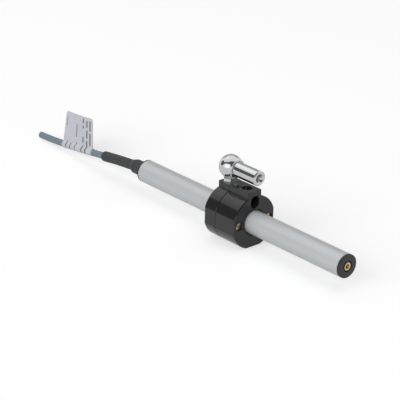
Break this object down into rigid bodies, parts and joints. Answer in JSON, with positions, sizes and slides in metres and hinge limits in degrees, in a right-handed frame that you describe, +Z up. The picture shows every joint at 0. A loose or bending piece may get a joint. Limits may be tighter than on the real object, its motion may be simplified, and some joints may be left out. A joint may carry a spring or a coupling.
{
  "type": "linear potentiometer",
  "caption": "Linear potentiometer: round sensor tube with a cable at one end, a black magnetic slider running along it, and an angled ball joint standing on the slider.",
  "frame": {"origin": "centre of the flat on the slider's underside that the object stands on, with the slider at its rest position", "axes": "+X along the sensor tube from the cable end to the capped end, +Z up out of the slider towards the ball joint, +Y to the left when looking along +X"},
  "size_m": [0.2592, 0.0278, 0.0455],
  "materials": {
    "anodised_aluminium": "satin clear anodised",
    "black_plastic": "moulded, fine satin",
    "cap_plastic": "moulded, fine satin",
    "brass": "machined",
    "seal_rubber": "plain",
    "cable_jacket": "soft grey-blue jacket",
    "sleeve_polyolefin": "matte shrink sleeve",
    "label_film": "white film, plain",
    "board_laminate": "laminate",
    "resistor_ink": "conductive plastic",
    "collector_ink": "silver ink",
    "contact_metal": "gilt spring strip",
    "carriage_plastic": "natural acetal",
    "magnet_plate": "nickel-plated magnet",
    "liner_plastic": "filled bearing plastic",
    "pole_steel": "mild steel",
    "zinc_plated": "bright zinc plated",
    "spring_wire": "drawn spring wire",
    "lead_insulation": "insulated leads"
  },
  "bodies": {
    "sensor": {"sensor_tube": "anodised_aluminium", "end_cap": "cap_plastic", "end_insert": "brass", "end_cap_seal": "seal_rubber", "cable_plug": "cap_plastic", "cable_plug_seal": "seal_rubber", "track_board": "board_laminate", "resistor_track": "resistor_ink", "collector_track": "collector_ink", "track_terminals": "contact_metal", "lead_wires": "lead_insulation", "cable_ferrule": "contact_metal", "cable_sleeve": "sleeve_polyolefin", "cable": "cable_jacket", "cable_label": "label_film"},
    "carriage": {"carriage": "carriage_plastic", "carriage_magnet_front": "magnet_plate", "carriage_magnet_rear": "magnet_plate", "wiper": "contact_metal"},
    "slider": {"slider_front_half": "black_plastic", "slider_rear_half": "black_plastic", "guide_liner_front": "liner_plastic", "guide_liner_rear": "liner_plastic", "slider_magnet_front": "magnet_plate", "slider_magnet_rear": "magnet_plate", "slider_pole_ring": "pole_steel", "clamp_screws": "brass", "ball_stud": "zinc_plated"},
    "ball_ring": {"retaining_ring": "spring_wire"},
    "socket": {"ball_socket": "zinc_plated", "safety_clip": "spring_wire"}
  },
  "joints": [
    {"name": "slider_travel", "type": "slide", "parent": "sensor", "child": "carriage", "axis": [1, 0, 0], "range_m": [-0.0487, 0.0513]},
    {"name": "slider_turn", "type": "hinge", "parent": "carriage", "child": "slider", "pos_m": [0, 0, 0.01383], "axis": [1, 0, 0], "continuous": true},
    {"name": "socket_tilt", "type": "hinge", "parent": "slider", "child": "ball_ring", "pos_m": [-0.0074, 0, 0.03913], "axis": [0, 1, 0], "range_deg": [-10, 10]},
    {"name": "socket_swivel", "type": "hinge", "parent": "ball_ring", "child": "socket", "pos_m": [-0.0074, 0, 0.03913], "axis": [0, 0, 1], "continuous": true}
  ]
}
